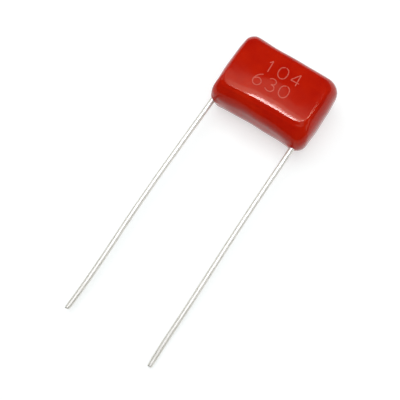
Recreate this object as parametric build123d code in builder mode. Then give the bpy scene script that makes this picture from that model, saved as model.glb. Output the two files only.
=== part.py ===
from build123d import *
from math import pi, sin, tan
import os

# Dipped polyester film capacitor with two radial leads, lying on one broad face.
# Origin: on the underside, midway between the leads and in the middle of the winding.
# +X runs from the left lead to the right one, +Y points away from the leads, +Z is up.

# Leads: the pitch and the wire are the standard pair for this body.
lead_pitch = 10.0
lead_diameter = 0.6
lead_length = 26.45         # from the coat's lead side to the cut end
weld_reach = 1.6            # how far the inner end goes past the middle of the winding
weld_sink = 0.12            # how deep the wire is welded into the sprayed metal
exit_straight = 0.9         # straight wire outside the coat before it droops
tip_height_left = 1.0       # axis of each cut end above the surface it lies on
tip_height_right = 0.4
tip_cut_angle = 18.0        # slant of the cutter's mark on the left end
bend_reach = 3.0            # wire taken up by half of one gentle bend

# Gentle bows of the two leads: (share of the free length, offset along X).
bow_left = [(0.0, 0.10), (0.42, -0.10), (0.72, 0.03), (1.0, -0.06)]
bow_right = [(0.0, 0.04), (0.32, -0.06), (0.72, 0.05), (1.0, 0.03)]

# Winding, its wrap and the sprayed ends.
winding_width = 7.1         # across the flat oval, along Y
winding_thickness = 4.9
wrap_wall = 0.1
spray_wall = 0.4
spray_edge = 0.15           # bevel of the sprayed rim

# Epoxy coat, measured outward from what it covers.
coat_on_flats = 0.35
coat_front = 0.58           # on the lead side
coat_back = 0.56
coat_past_left_lead = 0.32
coat_past_right_lead = 0.81
left_corner = 1.0           # corner radii in plan
right_corner = 1.35
front_round = 1.85          # how far the shoulders draw in at the flats
back_round = 1.45
end_round = 0.75
end_bulge = 0.14            # swell of each end side between its corners
arch_depth = 0.33           # hollow of the lead side between its two feet
round_power_in = 1.7        # superellipse powers of the rounded sides
round_power_up = 2.1
coat_levels = 9

# Meniscus of epoxy on each lead.
collar_length = 0.15        # past the coat's lead side
collar_depth = 1.1          # from the coat's lead side to where it starts inside
collar_root = 0.22          # epoxy around the wire where the meniscus leaves the coat
collar_mid = 0.09           # and halfway down, where it hollows
collar_lip = 0.03           # and where it ends

lead_radius = lead_diameter / 2
lead_x = lead_pitch / 2
spray_face = lead_x - lead_radius + weld_sink
winding_length = 2 * (spray_face - spray_wall)
core_width = winding_width + 2 * wrap_wall
core_thickness = winding_thickness + 2 * wrap_wall

coat_thickness = core_thickness + 2 * coat_on_flats
mid_height = coat_thickness / 2
front_y = -core_width / 2 - coat_front
back_y = core_width / 2 + coat_back
left_x = -lead_x - lead_radius - coat_past_left_lead
right_x = lead_x + lead_radius + coat_past_right_lead

# Both ends of the meniscus, from the outer end of the wire's straight exit.
collar_start = exit_straight - collar_length
collar_end = exit_straight + collar_depth

# Section plane of the winding: its local X is +Y, its local Y is +Z.
core_plane = Plane(origin=(0, 0, mid_height), x_dir=(0, 1, 0), z_dir=(1, 0, 0))


def lead_route(x, bow, tip_height):
    """Points of one lead's axis, from its weld to its cut end."""
    exit_y = front_y - exit_straight
    free_length = lead_length - exit_straight
    drop = mid_height - tip_height
    points = [(x, weld_reach, mid_height)]
    for share, offset in bow:
        points.append((x + offset, exit_y - share * free_length, mid_height - share * drop))
    return points


def bend_radii(points):
    """Radius of the bend at each inner point. The first bend stays outside the coat."""
    radii = []
    for before, here, after in zip(points, points[1:], points[2:]):
        run_in = Vector(here) - Vector(before)
        run_out = Vector(after) - Vector(here)
        reach = bend_reach if radii else exit_straight
        radii.append(reach / tan(run_in.get_angle(run_out) * pi / 360))
    return radii


left_route = lead_route(-lead_x, bow_left, tip_height_left)
right_route = lead_route(lead_x, bow_right, tip_height_right)

# Left lead, its end cut on a slant.
with BuildPart() as lead_left:
    with BuildLine() as left_path:
        FilletPolyline(*left_route, radius=bend_radii(left_route))
    with BuildSketch(Plane(origin=left_path.line @ 0, z_dir=left_path.line % 0)):
        Circle(lead_radius)
    sweep(path=left_path.line)
    left_tip = left_path.line @ 1
    slant = Plane(origin=left_tip, z_dir=left_path.line % 1).rotated((0, tip_cut_angle, 0))
    split(bisect_by=slant.offset(-lead_radius * tan(tip_cut_angle * pi / 180)), keep=Keep.BOTTOM)
lead_left.part.label = "lead_left"

# Right lead, cut square.
with BuildPart() as lead_right:
    with BuildLine() as right_path:
        FilletPolyline(*right_route, radius=bend_radii(right_route))
    with BuildSketch(Plane(origin=right_path.line @ 0, z_dir=right_path.line % 0)):
        Circle(lead_radius)
    sweep(path=right_path.line)
lead_right.part.label = "lead_right"

# Pressed winding: a flat oval whose turns are one solid.
with BuildPart() as film_winding:
    with BuildSketch(core_plane):
        SlotOverall(winding_width, winding_thickness)
    extrude(amount=winding_length / 2, both=True)
film_winding.part.label = "film_winding"

# Plain film sleeve around the winding.
with BuildPart() as outer_wrap:
    with BuildSketch(core_plane):
        SlotOverall(core_width, core_thickness)
        SlotOverall(winding_width, winding_thickness, mode=Mode.SUBTRACT)
    extrude(amount=winding_length / 2, both=True)
outer_wrap.part.label = "outer_wrap"

# Sprayed zinc on each end, with the bed that the welded wire has sunk into it.
with BuildPart() as end_spray_left:
    with BuildSketch(core_plane.offset(-winding_length / 2)):
        SlotOverall(core_width, core_thickness)
    extrude(amount=-spray_wall)
    chamfer(end_spray_left.faces().sort_by(Axis.X)[0].edges(), length=spray_edge)
    add(lead_left.part, mode=Mode.SUBTRACT)
end_spray_left.part.label = "end_spray_left"

with BuildPart() as end_spray_right:
    with BuildSketch(core_plane.offset(winding_length / 2)):
        SlotOverall(core_width, core_thickness)
    extrude(amount=spray_wall)
    chamfer(end_spray_right.faces().sort_by(Axis.X)[-1].edges(), length=spray_edge)
    add(lead_right.part, mode=Mode.SUBTRACT)
end_spray_right.part.label = "end_spray_right"

# Dipped coat: level outlines that draw in towards both flats, joined by a loft.
with BuildPart() as epoxy_coat:
    for level in range(coat_levels):
        rise = sin(pi * (level / (coat_levels - 1) - 0.5))
        draw_in = 1 - (1 - abs(rise) ** round_power_up) ** (1 / round_power_in)
        west = left_x + end_round * draw_in
        east = right_x - end_round * draw_in
        south = front_y + front_round * draw_in
        north = back_y - back_round * draw_in
        left_end = west + end_bulge
        right_end = east - end_bulge
        middle_x = (west + east) / 2
        middle_y = (south + north) / 2
        with BuildSketch(Plane.XY.offset(mid_height * (1 + rise))) as outline:
            with BuildLine():
                ThreePointArc((left_end, south), (middle_x, south + arch_depth), (right_end, south))
                ThreePointArc((right_end, south), (east, middle_y), (right_end, north))
                Line((right_end, north), (left_end, north))
                ThreePointArc((left_end, north), (west, middle_y), (left_end, south))
            make_face()
            fillet(outline.vertices().group_by(Axis.X)[0], radius=left_corner)
            fillet(outline.vertices().group_by(Axis.X)[-1], radius=right_corner)
    loft()

    # Meniscus that the coat drew down each wire, turned about the wire's own straight exit.
    for weld_end, exit_end in (left_route[:2], right_route[:2]):
        inward = Vector(weld_end) - Vector(exit_end)
        exit_plane = Plane(origin=exit_end, x_dir=inward.cross(Vector(0, 0, 1)), z_dir=(0, 0, 1))
        with BuildSketch(exit_plane):
            with BuildLine():
                Polyline(
                    (0, collar_start),
                    (lead_radius + collar_lip, collar_start),
                    (lead_radius + collar_mid, (collar_start + collar_end) / 2),
                    (lead_radius + collar_root, collar_end),
                    (0, collar_end),
                    (0, collar_start),
                )
            make_face()
        revolve(axis=Axis(exit_end, inward))

    # The coat set around the finished core, so its inside is the core's own outside.
    for inner in (film_winding, outer_wrap, end_spray_left, end_spray_right, lead_left, lead_right):
        add(inner.part, mode=Mode.SUBTRACT)
epoxy_coat.part.label = "epoxy_coat"

os.makedirs("parts", exist_ok=True)
export_step(epoxy_coat.part, "parts/epoxy_coat.step")
export_step(film_winding.part, "parts/film_winding.step")
export_step(outer_wrap.part, "parts/outer_wrap.step")
export_step(end_spray_left.part, "parts/end_spray_left.step")
export_step(end_spray_right.part, "parts/end_spray_right.step")
export_step(lead_left.part, "parts/lead_left.step")
export_step(lead_right.part, "parts/lead_right.step")

for name, route in (("left", left_route), ("right", right_route)):
    last_run = (Vector(route[-1]) - Vector(route[-2])).normalized()
    radii = [round(radius) for radius in bend_radii(route)]
    print(name, "lead: tip", route[-1], "axis", last_run, "bend radii", radii)
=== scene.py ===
import bpy
import numpy as np
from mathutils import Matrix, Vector


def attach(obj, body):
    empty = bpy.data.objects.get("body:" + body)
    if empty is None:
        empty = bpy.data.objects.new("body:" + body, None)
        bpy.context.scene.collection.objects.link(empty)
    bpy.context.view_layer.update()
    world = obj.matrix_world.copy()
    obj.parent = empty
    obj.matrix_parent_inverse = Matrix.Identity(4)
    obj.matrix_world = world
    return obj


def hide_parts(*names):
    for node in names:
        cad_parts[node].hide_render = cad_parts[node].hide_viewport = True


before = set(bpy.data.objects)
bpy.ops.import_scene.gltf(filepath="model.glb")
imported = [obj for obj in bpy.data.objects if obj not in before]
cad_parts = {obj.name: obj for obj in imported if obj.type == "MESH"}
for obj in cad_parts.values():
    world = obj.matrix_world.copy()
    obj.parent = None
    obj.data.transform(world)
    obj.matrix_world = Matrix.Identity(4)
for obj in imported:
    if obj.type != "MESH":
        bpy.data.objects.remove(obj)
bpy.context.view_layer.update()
mm = 0.001
print("frame loaded:", ", ".join(sorted(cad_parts)))

# Dipped polyester capacitor, lying on one broad face. Lengths in the settings are millimetres.


# Helpers

def colour(text):
    # sRGB hex to linear, as the shader sockets want it
    part = np.array([int(text[i:i + 2], 16) for i in (1, 3, 5)]) / 255
    linear = np.where(part <= 0.04045, part / 12.92, ((part + 0.055) / 1.055) ** 2.4)
    return (*linear.tolist(), 1.0)


def addNode(tree, kind, settings=None, links=None):
    # settings go to the node's own properties or, by name or number, to its input sockets
    node = tree.nodes.new(kind)
    for key, value in (settings or {}).items():
        if isinstance(key, str) and hasattr(node, key):
            setattr(node, key, value)
        else:
            node.inputs[key].default_value = value
    for key, socket in (links or {}).items():
        tree.links.new(socket, node.inputs[key])
    return node


def newMaterial(name):
    material = bpy.data.materials.new(name)
    material.use_nodes = True
    material.node_tree.nodes.clear()
    return material, material.node_tree


def closedSurface(name, rings, startPoint, endPoint):
    # rings is rows x columns x 3 in mm and closes round its columns; one point at each end closes
    # the rest. The faces are turned outward by the sign of the volume they enclose.
    rows, columns = rings.shape[:2]
    corners = np.concatenate([rings.reshape(-1, 3), [startPoint], [endPoint]]) * mm
    index = np.arange(rows * columns).reshape(rows, columns)
    ahead = np.roll(index, -1, axis=1)
    quads = np.stack([index[:-1], ahead[:-1], ahead[1:], index[1:]], -1).reshape(-1, 4)
    first = np.full(columns, rows * columns)
    fans = np.concatenate([
        np.stack([ahead[0], index[0], first], -1),
        np.stack([index[-1], ahead[-1], first + 1], -1),
    ])
    triangles = np.concatenate([quads[:, [0, 1, 2]], quads[:, [0, 2, 3]], fans])
    a, b, c = (corners[triangles[:, i]] for i in range(3))
    if np.einsum("ij,ij->", a, np.cross(b, c)) < 0:
        quads, fans = quads[:, ::-1], fans[:, ::-1]
    mesh = bpy.data.meshes.new(name)
    mesh.from_pydata(corners.tolist(), [], quads.tolist() + fans.tolist())
    mesh.polygons.foreach_set("use_smooth", np.ones(len(mesh.polygons), dtype=bool))
    mesh.update()
    piece = bpy.data.objects.new(name, mesh)
    bpy.context.scene.collection.objects.link(piece)
    return piece


def smoothPath(points, count):
    # A curve through the points: between two of them a cubic that starts and ends with the
    # slopes of the chords on either side (Catmull-Rom). count rows are spread evenly by length.
    points = np.asarray(points, float)
    chord = np.r_[0, np.cumsum(np.linalg.norm(np.diff(points, axis=0), axis=1))]
    slope = np.gradient(points, chord, axis=0)
    s = np.linspace(0, chord[-1], count)
    i = np.clip(np.searchsorted(chord, s, side="right") - 1, 0, len(points) - 2)
    h = (chord[i + 1] - chord[i])[:, None]
    t = (s - chord[i])[:, None] / h
    curve = (2 * t ** 3 - 3 * t ** 2 + 1) * points[i] + (t ** 3 - 2 * t ** 2 + t) * h * slope[i]
    curve += (3 * t ** 2 - 2 * t ** 3) * points[i + 1] + (t ** 3 - t ** 2) * h * slope[i + 1]
    return curve, s


# Camera: the photograph's place and lens, for a square frame

view = {
    "at": (11.056, -30.577, 72.126), "aim": (-0.324, -13.451, 0.0),
    "lens": 63.19, "sensor": 36.0, "nearest": 1.0,
}

cameraData = bpy.data.cameras.new("photoCamera")
cameraData.lens = view["lens"]
cameraData.sensor_width = view["sensor"]
cameraData.clip_start = view["nearest"] * mm
camera = bpy.data.objects.new("photoCamera", cameraData)
bpy.context.scene.collection.objects.link(camera)
camera.location = Vector(view["at"]) * mm
camera.rotation_euler = (Vector(view["aim"]) - Vector(view["at"])).to_track_quat("-Z", "Y").to_euler()
bpy.context.scene.camera = camera
print("camera set")


# Epoxy coat

coat = {
    "leftX": -5.62, "rightX": 6.18, "frontY": -4.23, "backY": 4.27, "midHeight": 2.9,
    "leftCorner": 1.0, "rightCorner": 1.35,
    # how far each side draws in on its way to the flats, and the two powers that shape it
    "frontRound": 1.62, "backRound": 1.45, "leftRound": 0.85, "rightRound": 1.02,
    "powerIn": 1.8, "powerUp": 2.1,
    # the same for the upper half of the lead side and right end: a sharper crest, sloping wall
    "crispIn": 1.08, "frontUp": 2.3, "rightUp": 2.7,
    "frontLift": 0.20,      # height of the lead side's widest row above the middle, of half the height
    "endBulge": 0.14,       # swell of both ends
    "archDepth": 0.36,      # hollow of the lead side between its two feet
    "archKept": 0.15,       # share of that hollow which is left at the flats
    "crestSkew": 0.40,      # how far the left end of the front crest comes forward
    "frontFall": (-1.35, 1.3, 0.08),    # where the flat starts to fall to its rim, reach, drop
    "rightFall": (4.0, 1.0, 0.047),
    "leftShare": 0.52,      # share of the front fall that the left end has
    "leftFade": (-2.8, 2.4),            # where that share ends, and how far on the fall is whole
    "ridge": (0.42, 0.13, 0.035),       # second ripple past the front crest: place, width, height
    "crown": 0.03,          # swell of the upper flat
    "crownAt": (0.25, 0.15), "crownHalf": (5.0, 2.6),
    # unevenness that the dip left on the upper flat and the sides, with its waves 2 to 4 mm long:
    # radians per mm along each axis, the phase and the share
    "flowTop": 0.007, "topWaves": ((1.35, 0.8, 0.6, 1.0), (0.9, -1.9, 2.1, 0.8)),
    "flow": 0.028,
    "runs": ((0.9, 0.0, 1.1, 0.4, 1.0), (1.7, -0.8, 0.6, 1.9, 0.7), (1.3, 2.3, 0.9, 0.0, 0.5)),
    "climb": 0.12,          # how far the epoxy climbed along each wire
    "climbReach": 0.42,
    "wires": ((-4.914, 2.9), (5.034, 2.9)), "wireRadius": 0.3,      # x and height of each wire
    "middle": (0.25, -0.05),            # where the rings of both flats close
    # mesh columns on the lead side, then by turns on each corner and side round to it again
    "columns": (112, 66, 48, 30, 84, 30, 48, 66),
    "lowRows": 46, "highRows": 86, "flatRings": 26, "ringSpread": 0.8,
}


def rimFall(x, y):
    # How far the upper flat has fallen near its front and right rims: drop x q^2, with q = 0 where
    # the fall starts and 1 a reach further. The front one weakens smoothly towards the left end,
    # as 3 u^2 - 2 u^3 does from u = 1 to 0.
    weakest, across = coat["leftFade"]
    u = np.clip((x - weakest) / across, 0, 1)
    share = coat["leftShare"] + (1 - coat["leftShare"]) * u ** 2 * (3 - 2 * u)
    start, reach, drop = coat["frontFall"]
    fall = drop * share * np.maximum((start - y) / reach, 0) ** 2
    start, reach, drop = coat["rightFall"]
    return fall + drop * np.maximum((x - start) / reach, 0) ** 2


def topHeight(x, y):
    # Height of the upper flat: 2 x midHeight, less the fall at its rims, plus the crown times
    # (1 - a^2)^2 (1 - b^2)^2, with a and b from -1 to 1 across it, plus slow waves that fade out
    a = np.clip((x - coat["crownAt"][0]) / coat["crownHalf"][0], -1, 1)
    b = np.clip((y - coat["crownAt"][1]) / coat["crownHalf"][1], -1, 1)
    fade = (1 - a ** 2) ** 2 * (1 - b ** 2) ** 2
    wave = sum(share * np.sin(i * x + j * y + phase) for i, j, phase, share in coat["topWaves"])
    return 2 * coat["midHeight"] - rimFall(x, y) + fade * (coat["crown"] + coat["flowTop"] * wave)


def rounding(height, up, into):
    # How far a side has drawn in at a height from -1 to 1: 1 - (1 - |height|^up)^(1 / into)
    return 1 - (1 - np.clip(np.abs(height), 0, 1) ** up) ** (1 / into)


def coatSurface(s):
    # Around: a rounded rectangle, as a corner centre (sideX, sideY) that travels between the four
    # corners and an angle that turns only while it waits at one. Up: rows of one height, each side
    # drawn in by its own rounding; on the lead side that starts from a row above the middle.
    # Flats: the last row shrunk towards the middle.
    keys = np.array([
        (-1, -1, -90), (1, -1, -90), (1, -1, 0), (1, 1, 0), (1, 1, 90),
        (-1, 1, 90), (-1, 1, 180), (-1, -1, 180), (-1, -1, 270),
    ], float)
    along = np.concatenate([i + np.arange(n) / n for i, n in enumerate(s["columns"])])
    sideX, sideY, angle = (np.interp(along, np.arange(9), keys[:, i])[None, :] for i in range(3))
    angle = np.radians(angle)

    # heights from -1 to 1, with rows closer together where the sides turn over into the flats
    below = np.linspace(-1, 0, s["lowRows"], endpoint=False)
    t = np.concatenate([below, np.linspace(0, 1, s["highRows"])])
    height = np.sin(np.pi / 4 * (t + t ** 3))[:, None]
    inset = rounding(height, s["powerUp"], s["powerIn"])
    steep = np.where(height > 0, rounding(height, s["rightUp"], s["crispIn"]), inset)
    lifted = height - s["frontLift"]
    lifted = lifted / (1 - s["frontLift"] * np.sign(lifted))
    wall = rounding(lifted, s["powerUp"], s["powerIn"])
    crisp = np.where(lifted > 0, rounding(lifted, s["frontUp"], s["crispIn"]), wall)
    west = s["leftX"] + s["leftRound"] * inset + s["endBulge"]
    east = s["rightX"] - s["rightRound"] * steep - s["endBulge"]
    south = s["frontY"] + s["frontRound"] * crisp
    north = s["backY"] - s["backRound"] * inset

    share = (1 + sideX) / 2
    radius = s["leftCorner"] + (s["rightCorner"] - s["leftCorner"]) * share
    innerWest, innerEast = west + s["leftCorner"], east - s["rightCorner"]
    x = innerWest + (innerEast - innerWest) * share + radius * np.cos(angle)
    y = south + radius + (north - south - 2 * radius) * (1 + sideY) / 2 + radius * np.sin(angle)

    # ends swell, and the lead side is hollow between its two feet: fully at half height, and less
    # towards the flats, by 1 - (1 - height^2)^2 above
    middleX, middleY = (west + east) / 2, (south + north) / 2
    acrossX = 2 * (x - middleX) / (east - west)
    acrossY = 2 * (y - middleY) / (north - south)
    filled = np.where(height > 0, 1 - (1 - height ** 2) ** 2, inset)
    hollow = s["archDepth"] * (1 - (1 - s["archKept"]) * filled)
    skew = s["crestSkew"] * crisp * np.clip((1 - acrossX) / 2, 0, 1) ** 2
    x = x + s["endBulge"] * (1 - acrossY ** 2) * sideX
    y = y + (hollow * (1 - acrossX ** 2) - skew) * (1 - acrossY) / 2
    place, width, rise = s["ridge"]
    past = s["frontRound"] * (1 - crisp)
    ripple = rise * np.exp(-((past - place) / width) ** 2) * (height > 0)
    z = s["midHeight"] * (1 + height) + ripple * np.clip(-np.sin(angle), 0, 1) ** 2

    # slow runs in the dip, none where the sides meet the flats
    run = sum(weight * np.sin(i * x + j * y + k * z + phase) for i, j, k, phase, weight in s["runs"])
    push = s["flow"] * run * (1 - np.abs(height) ** 4)
    x = x + push * np.cos(angle)
    y = y + push * np.sin(angle)
    z = z - rimFall(x, y) * np.clip(height, 0, 1) ** 6

    # meniscus: towards each wire the coat is drawn out by climb x exp(-(gap / reach)^2)
    for wireX, wireZ in s["wires"]:
        gap = np.maximum(np.hypot(x - wireX, z - wireZ) - s["wireRadius"], 0)
        y = y - s["climb"] * np.exp(-(gap / s["climbReach"]) ** 2) * (y < 0)

    # flats: rings a little wider apart towards the middle
    side = np.stack([x, y, z], -1)
    shrink = np.linspace(1, 0, s["flatRings"] + 1)[1:-1, None, None] ** s["ringSpread"]
    centre = np.array([*s["middle"], 0.0])
    lower = centre + (side[0] - centre) * shrink[::-1]
    upper = centre + (side[-1] - centre) * shrink
    lower[..., 2] = 0
    upper[..., 2] = topHeight(upper[..., 0], upper[..., 1])
    rings = np.concatenate([lower, side, upper])
    return rings, centre, np.array([*s["middle"], topHeight(*s["middle"])])


epoxyCoat = closedSurface("dippedCoat", *coatSurface(coat))
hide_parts("epoxy_coat")
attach(epoxyCoat, "root")
print("coat:", len(epoxyCoat.data.polygons), "faces")


# Leads

leads = {
    "radius": 0.3, "rows": 180, "columns": 36,
    # each wire's middle line, from inside the coat to its cut end
    "left": [
        (-5.0, 1.6, 2.9), (-4.95, -1.8, 2.9), (-4.905, -5.13, 2.9), (-4.99, -9.6, 2.60),
        (-5.08, -14.8, 2.18), (-5.07, -19.6, 1.82), (-4.98, -24.0, 1.49), (-4.98, -28.2, 1.18),
        (-5.06, -30.68, 1.0),
    ],
    "right": [
        (5.0, 1.6, 2.9), (5.02, -1.8, 2.9), (5.035, -5.13, 2.9), (4.97, -9.6, 2.46),
        (4.95, -14.8, 1.95), (4.99, -19.6, 1.48), (5.03, -24.0, 1.05), (5.02, -28.2, 0.64),
        (5.08, -30.68, 0.4),
    ],
    "leftSlant": 18.0, "rightSlant": 3.0,       # degrees off square of the cutter's mark
    "slantReach": 0.6,
    "pinch": 0.16, "pinchReach": 0.55,          # how far the cutter flattened the end
    # profile of the broken rim: distance past the cut, and share of the radius
    "rim": [(0.0, 1.0), (0.012, 0.985), (0.03, 0.94), (0.036, 0.86), (0.036, 0.5)],
    "start": (0.5, 0.9),                        # rings that close the buried end, of the radius
}


def leadSurface(s, points, slant):
    # A circle carried along the smooth path. Towards the cut end it is pinched: narrower across by
    # 1 - pinch w and wider up by 1 + pinch w / 2, w = exp(-(distance to the end / reach)^2). The
    # last rows turn over the rim and close on a face that leans by the slant.
    curve, length = smoothPath(points, s["rows"])
    tangent = np.gradient(curve, length, axis=0)
    tangent /= np.linalg.norm(tangent, axis=1, keepdims=True)
    side = np.cross(tangent, (0.0, 0.0, 1.0))
    side /= np.linalg.norm(side, axis=1, keepdims=True)
    up = np.cross(side, tangent)
    turn = np.linspace(0, 2 * np.pi, s["columns"], endpoint=False)
    toEnd = length[-1] - length
    w = np.exp(-(toEnd / s["pinchReach"]) ** 2)[:, None]
    across = s["radius"] * (1 - s["pinch"] * w) * np.cos(turn)
    rise = s["radius"] * (1 + s["pinch"] / 2 * w) * np.sin(turn)
    rings = curve[:, None] + across[..., None] * side[:, None] + rise[..., None] * up[:, None]
    lean = np.tan(np.radians(slant))
    near = np.clip(1 - toEnd / s["slantReach"], 0, 1)[:, None, None]
    rings = rings + near * lean * (across - s["radius"])[..., None] * tangent[:, None]
    end = rings[-1]
    middle = end.mean(axis=0)
    rim = np.array(s["rim"])[:, :, None, None]
    outer = middle + (end - middle) * rim[:, 1] + tangent[-1] * rim[:, 0]
    inner = curve[0] + (rings[0] - curve[0]) * np.array(s["start"])[:, None, None]
    rings = np.concatenate([inner, rings[1:-1], outer])
    return rings, curve[0], middle + tangent[-1] * s["rim"][-1][0]


for name, slant in (("left", leads["leftSlant"]), ("right", leads["rightSlant"])):
    lead = closedSurface(name + "Wire", *leadSurface(leads, leads[name], slant))
    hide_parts("lead_" + name)
    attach(lead, "root")
print("leads made")


# Marking: plain digits

marking = {
    "rows": (("104", (-1.28, 1.22)), ("630", (-1.62, -0.62))),      # digits, and the first one's middle
    "pitch": 1.5, "height": 1.42, "width": 1.02, "turn": 3.5,       # turn in degrees
    "stroke": 0.12, "proud": 0.006,
    "narrowest": 0.02,                  # width left at a stroke's very end, of the whole
    "stations": 46, "around": 10,
}

# each stroke as points of a unit cell, x to the right and y up
digitStrokes = {
    "0": [[(0.5, 1.0), (0.14, 0.86), (0.0, 0.5), (0.14, 0.14), (0.5, 0.0), (0.86, 0.14), (1.0, 0.5),
           (0.86, 0.86), (0.5, 1.0)]],
    "1": [[(0.22, 0.76), (0.40, 0.88), (0.52, 1.0)], [(0.52, 1.0), (0.52, 0.5), (0.52, 0.0)]],
    "3": [[(0.06, 0.88), (0.30, 1.0), (0.66, 0.99), (0.86, 0.84), (0.80, 0.64), (0.44, 0.54)],
          [(0.44, 0.54), (0.84, 0.46), (0.96, 0.27), (0.80, 0.06), (0.42, -0.01), (0.04, 0.12)]],
    "4": [[(0.74, 0.0), (0.74, 0.5), (0.74, 1.0)], [(0.74, 1.0), (0.37, 0.66), (0.02, 0.3)],
          [(0.02, 0.3), (0.5, 0.3), (1.0, 0.3)]],
    "6": [[(0.78, 1.0), (0.36, 0.80), (0.08, 0.46), (0.06, 0.22), (0.28, 0.01), (0.66, 0.0), (0.92, 0.18),
           (0.90, 0.42), (0.64, 0.57), (0.30, 0.54), (0.08, 0.36)]],
}


def strokeSurface(s, points):
    # A flat ellipse carried along the stroke on the coat's upper face, half sunk in it. Towards both
    # ends its width falls by sqrt(1 - (1 - d)^2), d = distance to the end / half the stroke.
    curve, length = smoothPath(points, s["stations"])
    tangent = np.gradient(curve, length, axis=0)
    tangent /= np.linalg.norm(tangent, axis=1, keepdims=True)
    side = np.stack([-tangent[:, 1], tangent[:, 0]], -1)
    half = s["stroke"] / 2
    ends = np.clip(np.minimum(length, length[-1] - length) / half, 0, 1)
    widthHere = half * np.sqrt(np.clip(1 - (1 - ends) ** 2, s["narrowest"] ** 2, 1))
    turn = np.linspace(0, 2 * np.pi, s["around"], endpoint=False)
    flat = curve[:, None] + (widthHere[:, None] * np.cos(turn))[..., None] * side[:, None]
    lift = s["proud"] * (widthHere / half)[:, None] * np.sin(turn)
    z = topHeight(flat[..., 0], flat[..., 1]) + lift
    rings = np.concatenate([flat, z[..., None]], -1)
    return rings[1:-1], rings[0].mean(axis=0), rings[-1].mean(axis=0)


def makeMarking(s):
    # Each stroke is scaled from its unit cell, moved on by its digit's place in the row, turned with
    # the row and set down at the row's start. All strokes are joined to one piece.
    turn = np.radians(s["turn"])
    axes = np.array([[np.cos(turn), np.sin(turn)], [-np.sin(turn), np.cos(turn)]])
    strokes = []
    for row, (digits, start) in enumerate(s["rows"]):
        for place, digit in enumerate(digits):
            for number, stroke in enumerate(digitStrokes[digit]):
                cell = (np.array(stroke) - 0.5) * (s["width"], s["height"]) + (place * s["pitch"], 0)
                points = np.array(start) + cell @ axes
                label = "markStroke%d%d%d" % (row, place, number)
                strokes.append(closedSurface(label, *strokeSurface(s, points)))
    with bpy.context.temp_override(active_object=strokes[0], selected_editable_objects=strokes):
        bpy.ops.object.join()
    strokes[0].name = "markedDigits"
    return strokes[0]


markedDigits = makeMarking(marking)
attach(markedDigits, "root")
print("marking made:", len(markedDigits.data.polygons), "faces")


# Finishes

def redEpoxy():
    # Dip-coated pigmented epoxy, flowed and cured: a deep glossy red that lies a little uneven.
    # Seen straight on, its reflections are faint and warm; at the edges they go white.
    material, tree = newMaterial("dippedRedEpoxy")
    place = addNode(tree, "ShaderNodeTexCoord").outputs["Object"]
    # clouds of pigment 3 mm across, down to fine grain
    cloud = addNode(tree, "ShaderNodeTexNoise", {
        "Scale": 330.0, "Detail": 6.0, "Roughness": 0.62,
    }, {"Vector": place})
    tone = addNode(tree, "ShaderNodeValToRGB", None, {"Fac": cloud.outputs["Fac"]})
    dark, light = tone.color_ramp.elements
    dark.position, dark.color = 0.32, colour("#b70e00")
    light.position, light.color = 0.70, colour("#c81e02")
    # orange peel: swells about 0.7 mm apart, 1.5 um high
    peel = addNode(tree, "ShaderNodeTexNoise", {"Scale": 1400.0, "Detail": 1.0}, {"Vector": place})
    bump = addNode(tree, "ShaderNodeBump", {
        "Strength": 1.0, "Distance": 0.0000015,
    }, {"Height": peel.outputs["Fac"]})
    # handling marks 2 mm across change the gloss a little
    smear = addNode(tree, "ShaderNodeTexNoise", {"Scale": 520.0, "Detail": 3.0}, {"Vector": place})
    gloss = addNode(tree, "ShaderNodeMapRange", {
        "To Min": 0.06, "To Max": 0.11,
    }, {"Value": smear.outputs["Fac"]})
    shader = addNode(tree, "ShaderNodeBsdfPrincipled", {
        "IOR": 1.32, "Specular Tint": (1.0, 0.76, 0.56, 1.0),
    }, {
        "Base Color": tone.outputs["Color"], "Roughness": gloss.outputs["Result"],
        "Normal": bump.outputs["Normal"],
    })
    addNode(tree, "ShaderNodeOutputMaterial", None, {"Surface": shader.outputs["BSDF"]})
    return material


def markedEpoxy():
    # The same epoxy where the marker burned it: matt, paler and more orange than the coat, with a
    # grain of 0.2 mm
    material, tree = newMaterial("markedEpoxy")
    place = addNode(tree, "ShaderNodeTexCoord").outputs["Object"]
    grain = addNode(tree, "ShaderNodeTexNoise", {"Scale": 6000.0, "Detail": 2.0}, {"Vector": place})
    tone = addNode(tree, "ShaderNodeValToRGB", None, {"Fac": grain.outputs["Fac"]})
    dark, light = tone.color_ramp.elements
    dark.position, dark.color = 0.35, colour("#c83c1e")
    light.position, light.color = 0.65, colour("#dc5236")
    shader = addNode(tree, "ShaderNodeBsdfPrincipled", {
        "IOR": 1.55, "Roughness": 0.6,
    }, {"Base Color": tone.outputs["Color"]})
    addNode(tree, "ShaderNodeOutputMaterial", None, {"Surface": shader.outputs["BSDF"]})
    return material


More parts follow.
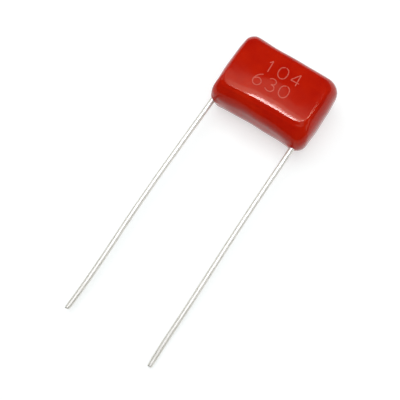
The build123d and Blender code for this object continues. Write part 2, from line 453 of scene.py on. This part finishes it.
def tinnedWire():
    # Copper-clad steel wire, drawn and hot-tinned: bright, with soft streaks along its length,
    # 0.1 mm wide and 2 mm long
    material, tree = newMaterial("tinnedDrawnWire")
    place = addNode(tree, "ShaderNodeTexCoord").outputs["Object"]
    stretch = addNode(tree, "ShaderNodeMapping", {
        "vector_type": "POINT", "Scale": (9000.0, 500.0, 9000.0),
    }, {"Vector": place})
    streak = addNode(tree, "ShaderNodeTexNoise", {
        "Scale": 1.0, "Detail": 3.0,
    }, {"Vector": stretch.outputs["Vector"]})
    tone = addNode(tree, "ShaderNodeValToRGB", None, {"Fac": streak.outputs["Fac"]})
    dark, light = tone.color_ramp.elements
    dark.position, dark.color = 0.3, colour("#dedbd1")
    light.position, light.color = 0.7, colour("#f2f0ea")
    gloss = addNode(tree, "ShaderNodeMapRange", {
        "To Min": 0.33, "To Max": 0.41,
    }, {"Value": streak.outputs["Fac"]})
    bump = addNode(tree, "ShaderNodeBump", {
        "Strength": 0.25, "Distance": 0.000001,
    }, {"Height": streak.outputs["Fac"]})
    # less than full metal, because the photograph's wires reflect little of the dark room
    shader = addNode(tree, "ShaderNodeBsdfPrincipled", {"Metallic": 0.75}, {
        "Base Color": tone.outputs["Color"], "Roughness": gloss.outputs["Result"],
        "Normal": bump.outputs["Normal"],
    })
    addNode(tree, "ShaderNodeOutputMaterial", None, {"Surface": shader.outputs["BSDF"]})
    return material


def sprayedZinc():
    # Zinc sprayed molten on the winding's ends: matt grey, grainy with 0.1 mm splats
    material, tree = newMaterial("sprayedZinc")
    place = addNode(tree, "ShaderNodeTexCoord").outputs["Object"]
    splat = addNode(tree, "ShaderNodeTexVoronoi", {"Scale": 9000.0}, {"Vector": place})
    tone = addNode(tree, "ShaderNodeValToRGB", None, {"Fac": splat.outputs["Distance"]})
    dark, light = tone.color_ramp.elements
    dark.color, light.color = colour("#9a9ca0"), colour("#c4c6c9")
    bump = addNode(tree, "ShaderNodeBump", {
        "Strength": 0.8, "Distance": 0.00003,
    }, {"Height": splat.outputs["Distance"]})
    shader = addNode(tree, "ShaderNodeBsdfPrincipled", {"Metallic": 0.9, "Roughness": 0.62}, {
        "Base Color": tone.outputs["Color"], "Normal": bump.outputs["Normal"],
    })
    addNode(tree, "ShaderNodeOutputMaterial", None, {"Surface": shader.outputs["BSDF"]})
    return material


def metallisedFilm():
    # Polyester film with an evaporated aluminium face, wound and pressed: silvery, with fine turns.
    # The real film is a few um thick, so the turns are drawn coarser, about 0.13 mm apart.
    material, tree = newMaterial("metallisedFilm")
    place = addNode(tree, "ShaderNodeTexCoord").outputs["Object"]
    turns = addNode(tree, "ShaderNodeTexWave", {
        "bands_direction": "Z", "Scale": 2500.0, "Distortion": 1.2, "Detail": 1.0,
    }, {"Vector": place})
    tone = addNode(tree, "ShaderNodeValToRGB", None, {"Fac": turns.outputs["Fac"]})
    dark, light = tone.color_ramp.elements
    dark.color, light.color = colour("#b9bcc0"), colour("#dfe1e4")
    shader = addNode(tree, "ShaderNodeBsdfPrincipled", {
        "Metallic": 1.0, "Roughness": 0.3,
    }, {"Base Color": tone.outputs["Color"]})
    addNode(tree, "ShaderNodeOutputMaterial", None, {"Surface": shader.outputs["BSDF"]})
    return material


def plainFilm():
    # Clear polyester film, a few turns: smooth, faintly straw-coloured, with slack ripples 1.4 mm
    # apart
    material, tree = newMaterial("plainPolyesterFilm")
    place = addNode(tree, "ShaderNodeTexCoord").outputs["Object"]
    ripple = addNode(tree, "ShaderNodeTexNoise", {"Scale": 700.0, "Detail": 1.0}, {"Vector": place})
    tone = addNode(tree, "ShaderNodeValToRGB", None, {"Fac": ripple.outputs["Fac"]})
    dark, light = tone.color_ramp.elements
    dark.color, light.color = colour("#d9d2ba"), colour("#ece7d6")
    bump = addNode(tree, "ShaderNodeBump", {
        "Strength": 0.5, "Distance": 0.00001,
    }, {"Height": ripple.outputs["Fac"]})
    shader = addNode(tree, "ShaderNodeBsdfPrincipled", {"IOR": 1.64, "Roughness": 0.14}, {
        "Base Color": tone.outputs["Color"], "Normal": bump.outputs["Normal"],
    })
    addNode(tree, "ShaderNodeOutputMaterial", None, {"Surface": shader.outputs["BSDF"]})
    return material


finishes = {
    "dippedCoat": redEpoxy(), "markedDigits": markedEpoxy(),
    "zinc": sprayedZinc(), "film": metallisedFilm(), "sleeve": plainFilm(), "wire": tinnedWire(),
}
wearers = {
    "dippedCoat": (epoxyCoat,), "markedDigits": (markedDigits,),
    "wire": (bpy.data.objects["leftWire"], bpy.data.objects["rightWire"]),
    "zinc": (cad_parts["end_spray_left"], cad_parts["end_spray_right"]),
    "film": (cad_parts["film_winding"],), "sleeve": (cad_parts["outer_wrap"],),
}
hidden = {"epoxy_coat": "dippedCoat", "lead_left": "wire", "lead_right": "wire"}    # replaced above
for finish, pieces in wearers.items():
    for piece in pieces:
        piece.data.materials.clear()
        piece.data.materials.append(finishes[finish])
for node, finish in hidden.items():
    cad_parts[node].data.materials.clear()
    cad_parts[node].data.materials.append(finishes[finish])
print("finishes on")


# Floor, lamps and world

studio = {
    "floorHalf": 300.0, "floorColour": "#c3c8c8", "floorGlow": 0.57,
    "worldLight": 0.48, "worldShown": 0.20,     # strength as diffuse light, and in reflections
    # A lamp hangs level and faces down, unless it leans in to face the part. glossOnly shows in
    # reflections and lights nothing else, and mattOnly the other way round.
    "lamps": {
        "stripBox": {       # the long highlight on the front crest
            "at": (-8.0, 54.0, 300.0), "size": (114.0, 14.0), "watts": 0.31,
            "tone": "#dbe4ff", "glossOnly": True,
        },
        "haloBox": {        # the soft veil behind it
            "at": (-15.0, 76.0, 302.0), "size": (110.0, 30.0), "watts": 0.03, "glossOnly": True,
        },
        "rightStrip": {     # the short highlight on the right crest
            "at": (38.0, 116.0, 300.0), "size": (18.0, 36.0), "watts": 0.03, "glossOnly": True,
        },
        "broadBox": {"at": (-100.0, 30.0, 310.0), "size": (320.0, 206.0), "watts": 0.37},
        "topBox": {
            "at": (0.0, 0.0, 330.0), "size": (300.0, 300.0), "watts": 0.22, "mattOnly": True,
        },
        "wireBox": {        # the bright line along each lead
            "at": (160.0, -60.0, 310.0), "size": (200.0, 180.0), "watts": 0.14, "glossOnly": True,
        },
        "leftBox": {
            "at": (-340.0, 40.0, 160.0), "size": (230.0, 110.0), "watts": 0.12, "leansIn": True,
        },
        "rightBox": {
            "at": (340.0, 40.0, 160.0), "size": (230.0, 110.0), "watts": 0.12, "leansIn": True,
        },
    },
}


def seenRays(tree, path):
    # 1 for a ray from the camera, a reflection or a refraction, and 0 for diffuse light
    seen = path.outputs["Is Camera Ray"]
    for kind in ("Is Glossy Ray", "Is Transmission Ray"):
        both = addNode(tree, "ShaderNodeMath", {"operation": "MAXIMUM"}, {0: seen, 1: path.outputs[kind]})
        seen = both.outputs[0]
    return seen


def makeFloor(s):
    # Matt white card. To the camera and in reflections it also glows a little, so that it shows
    # as the photograph's white while it keeps the object's shadow.
    half = s["floorHalf"] * mm
    corners = [(-half, -half, 0), (half, -half, 0), (half, half, 0), (-half, half, 0)]
    mesh = bpy.data.meshes.new("whiteCard")
    mesh.from_pydata(corners, [], [(0, 1, 2, 3)])
    floor = bpy.data.objects.new("whiteCard", mesh)
    bpy.context.scene.collection.objects.link(floor)
    material, tree = newMaterial("mattWhiteCard")
    seen = seenRays(tree, addNode(tree, "ShaderNodeLightPath"))
    level = addNode(tree, "ShaderNodeMath", {"operation": "MULTIPLY", 1: s["floorGlow"]}, {0: seen})
    card = addNode(tree, "ShaderNodeBsdfDiffuse", {"Color": colour(s["floorColour"])})
    glow = addNode(tree, "ShaderNodeEmission", None, {"Strength": level.outputs[0]})
    both = addNode(tree, "ShaderNodeAddShader", None, {0: card.outputs[0], 1: glow.outputs[0]})
    addNode(tree, "ShaderNodeOutputMaterial", None, {"Surface": both.outputs[0]})
    mesh.materials.append(material)


def makeLamp(name, s):
    # A flat box lamp with one lamp's own settings
    lamp = bpy.data.lights.new(name, "AREA")
    lamp.shape = "RECTANGLE"
    lamp.size, lamp.size_y = s["size"][0] * mm, s["size"][1] * mm
    lamp.energy = s["watts"]
    lamp.color = colour(s.get("tone", "#ffffff"))[:3]
    holder = bpy.data.objects.new(name, lamp)
    bpy.context.scene.collection.objects.link(holder)
    holder.location = Vector(s["at"]) * mm
    holder.visible_diffuse = not s.get("glossOnly", False)
    holder.visible_glossy = not s.get("mattOnly", False)
    if s.get("leansIn", False):
        holder.rotation_euler = Vector(s["at"]).to_track_quat("Z", "Y").to_euler()


def makeWorld(s):
    # Light grey to the camera past the card's edge, and dimmer as light and in reflections
    world = bpy.data.worlds.new("studioWorld")
    bpy.context.scene.world = world
    world.use_nodes = True
    tree = world.node_tree
    tree.nodes.clear()
    path = addNode(tree, "ShaderNodeLightPath")
    seen = seenRays(tree, path)
    level = addNode(tree, "ShaderNodeMapRange", {
        "To Min": s["worldLight"], "To Max": s["worldShown"],
    }, {"Value": seen})
    level = addNode(tree, "ShaderNodeMath", {"operation": "MAXIMUM"}, {
        0: level.outputs["Result"], 1: path.outputs["Is Camera Ray"],
    })
    sky = addNode(tree, "ShaderNodeBackground", None, {"Strength": level.outputs[0]})
    addNode(tree, "ShaderNodeOutputWorld", None, {"Surface": sky.outputs[0]})


makeFloor(studio)
for name, settings in studio["lamps"].items():
    makeLamp(name, settings)
makeWorld(studio)
bpy.context.scene.view_settings.view_transform = "Standard"
print("studio set")
